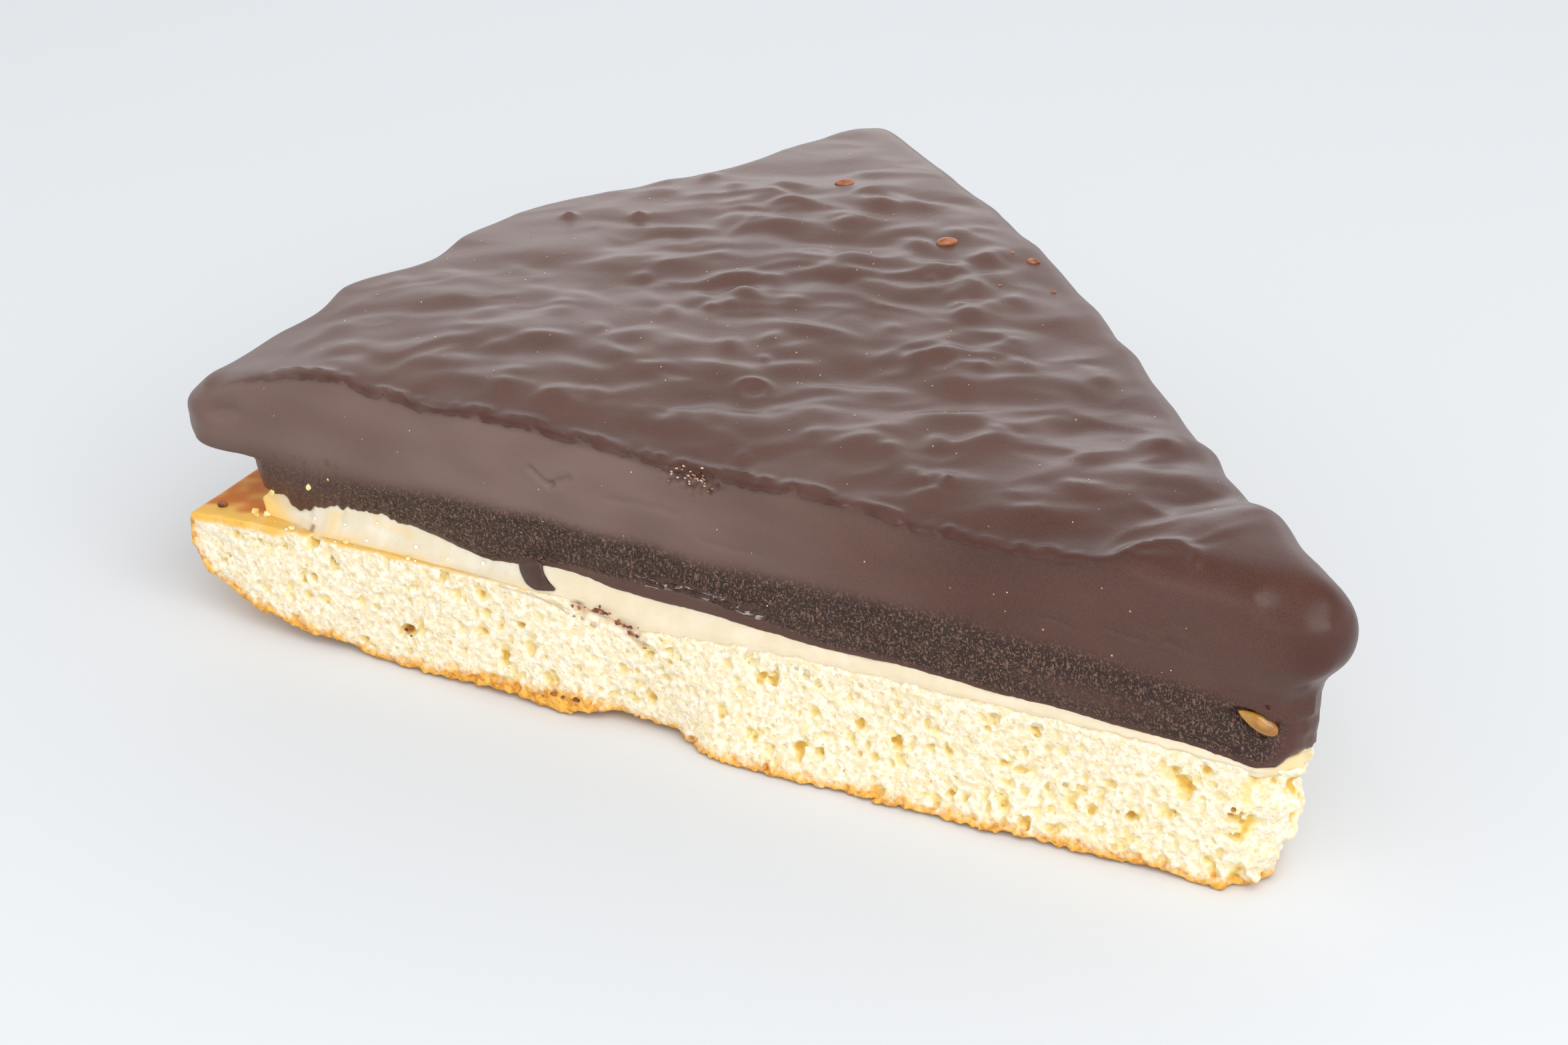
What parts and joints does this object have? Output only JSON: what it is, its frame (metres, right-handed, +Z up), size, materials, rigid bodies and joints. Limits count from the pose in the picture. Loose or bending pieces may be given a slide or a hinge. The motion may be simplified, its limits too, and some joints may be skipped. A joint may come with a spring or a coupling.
{
  "type": "chocolate-topped cake slice",
  "caption": "Wedge of round cake: pale airy sponge base with curled golden crust, thin cream layer and a thick rippled dark chocolate topping.",
  "frame": {"origin": "centre of the bounding box's underside, on the surface the slice lies on", "axes": "+X along the middle of the slice from the rim to the tip, +Z up, -Y the side of the near cut"},
  "size_m": [0.145, 0.1136, 0.0391],
  "materials": {
    "crumb": "matte airy sponge crumb with a golden baked crust underneath and at the rim",
    "cream": "smooth pale cream with a soft sheen",
    "chocolate": "semi-gloss dark chocolate coating, matte and grainy low on the cut"
  },
  "bodies": {
    "root": {"sponge_base": "crumb", "cream_layer": "cream", "chocolate_topping": "chocolate"}
  },
  "joints": []
}
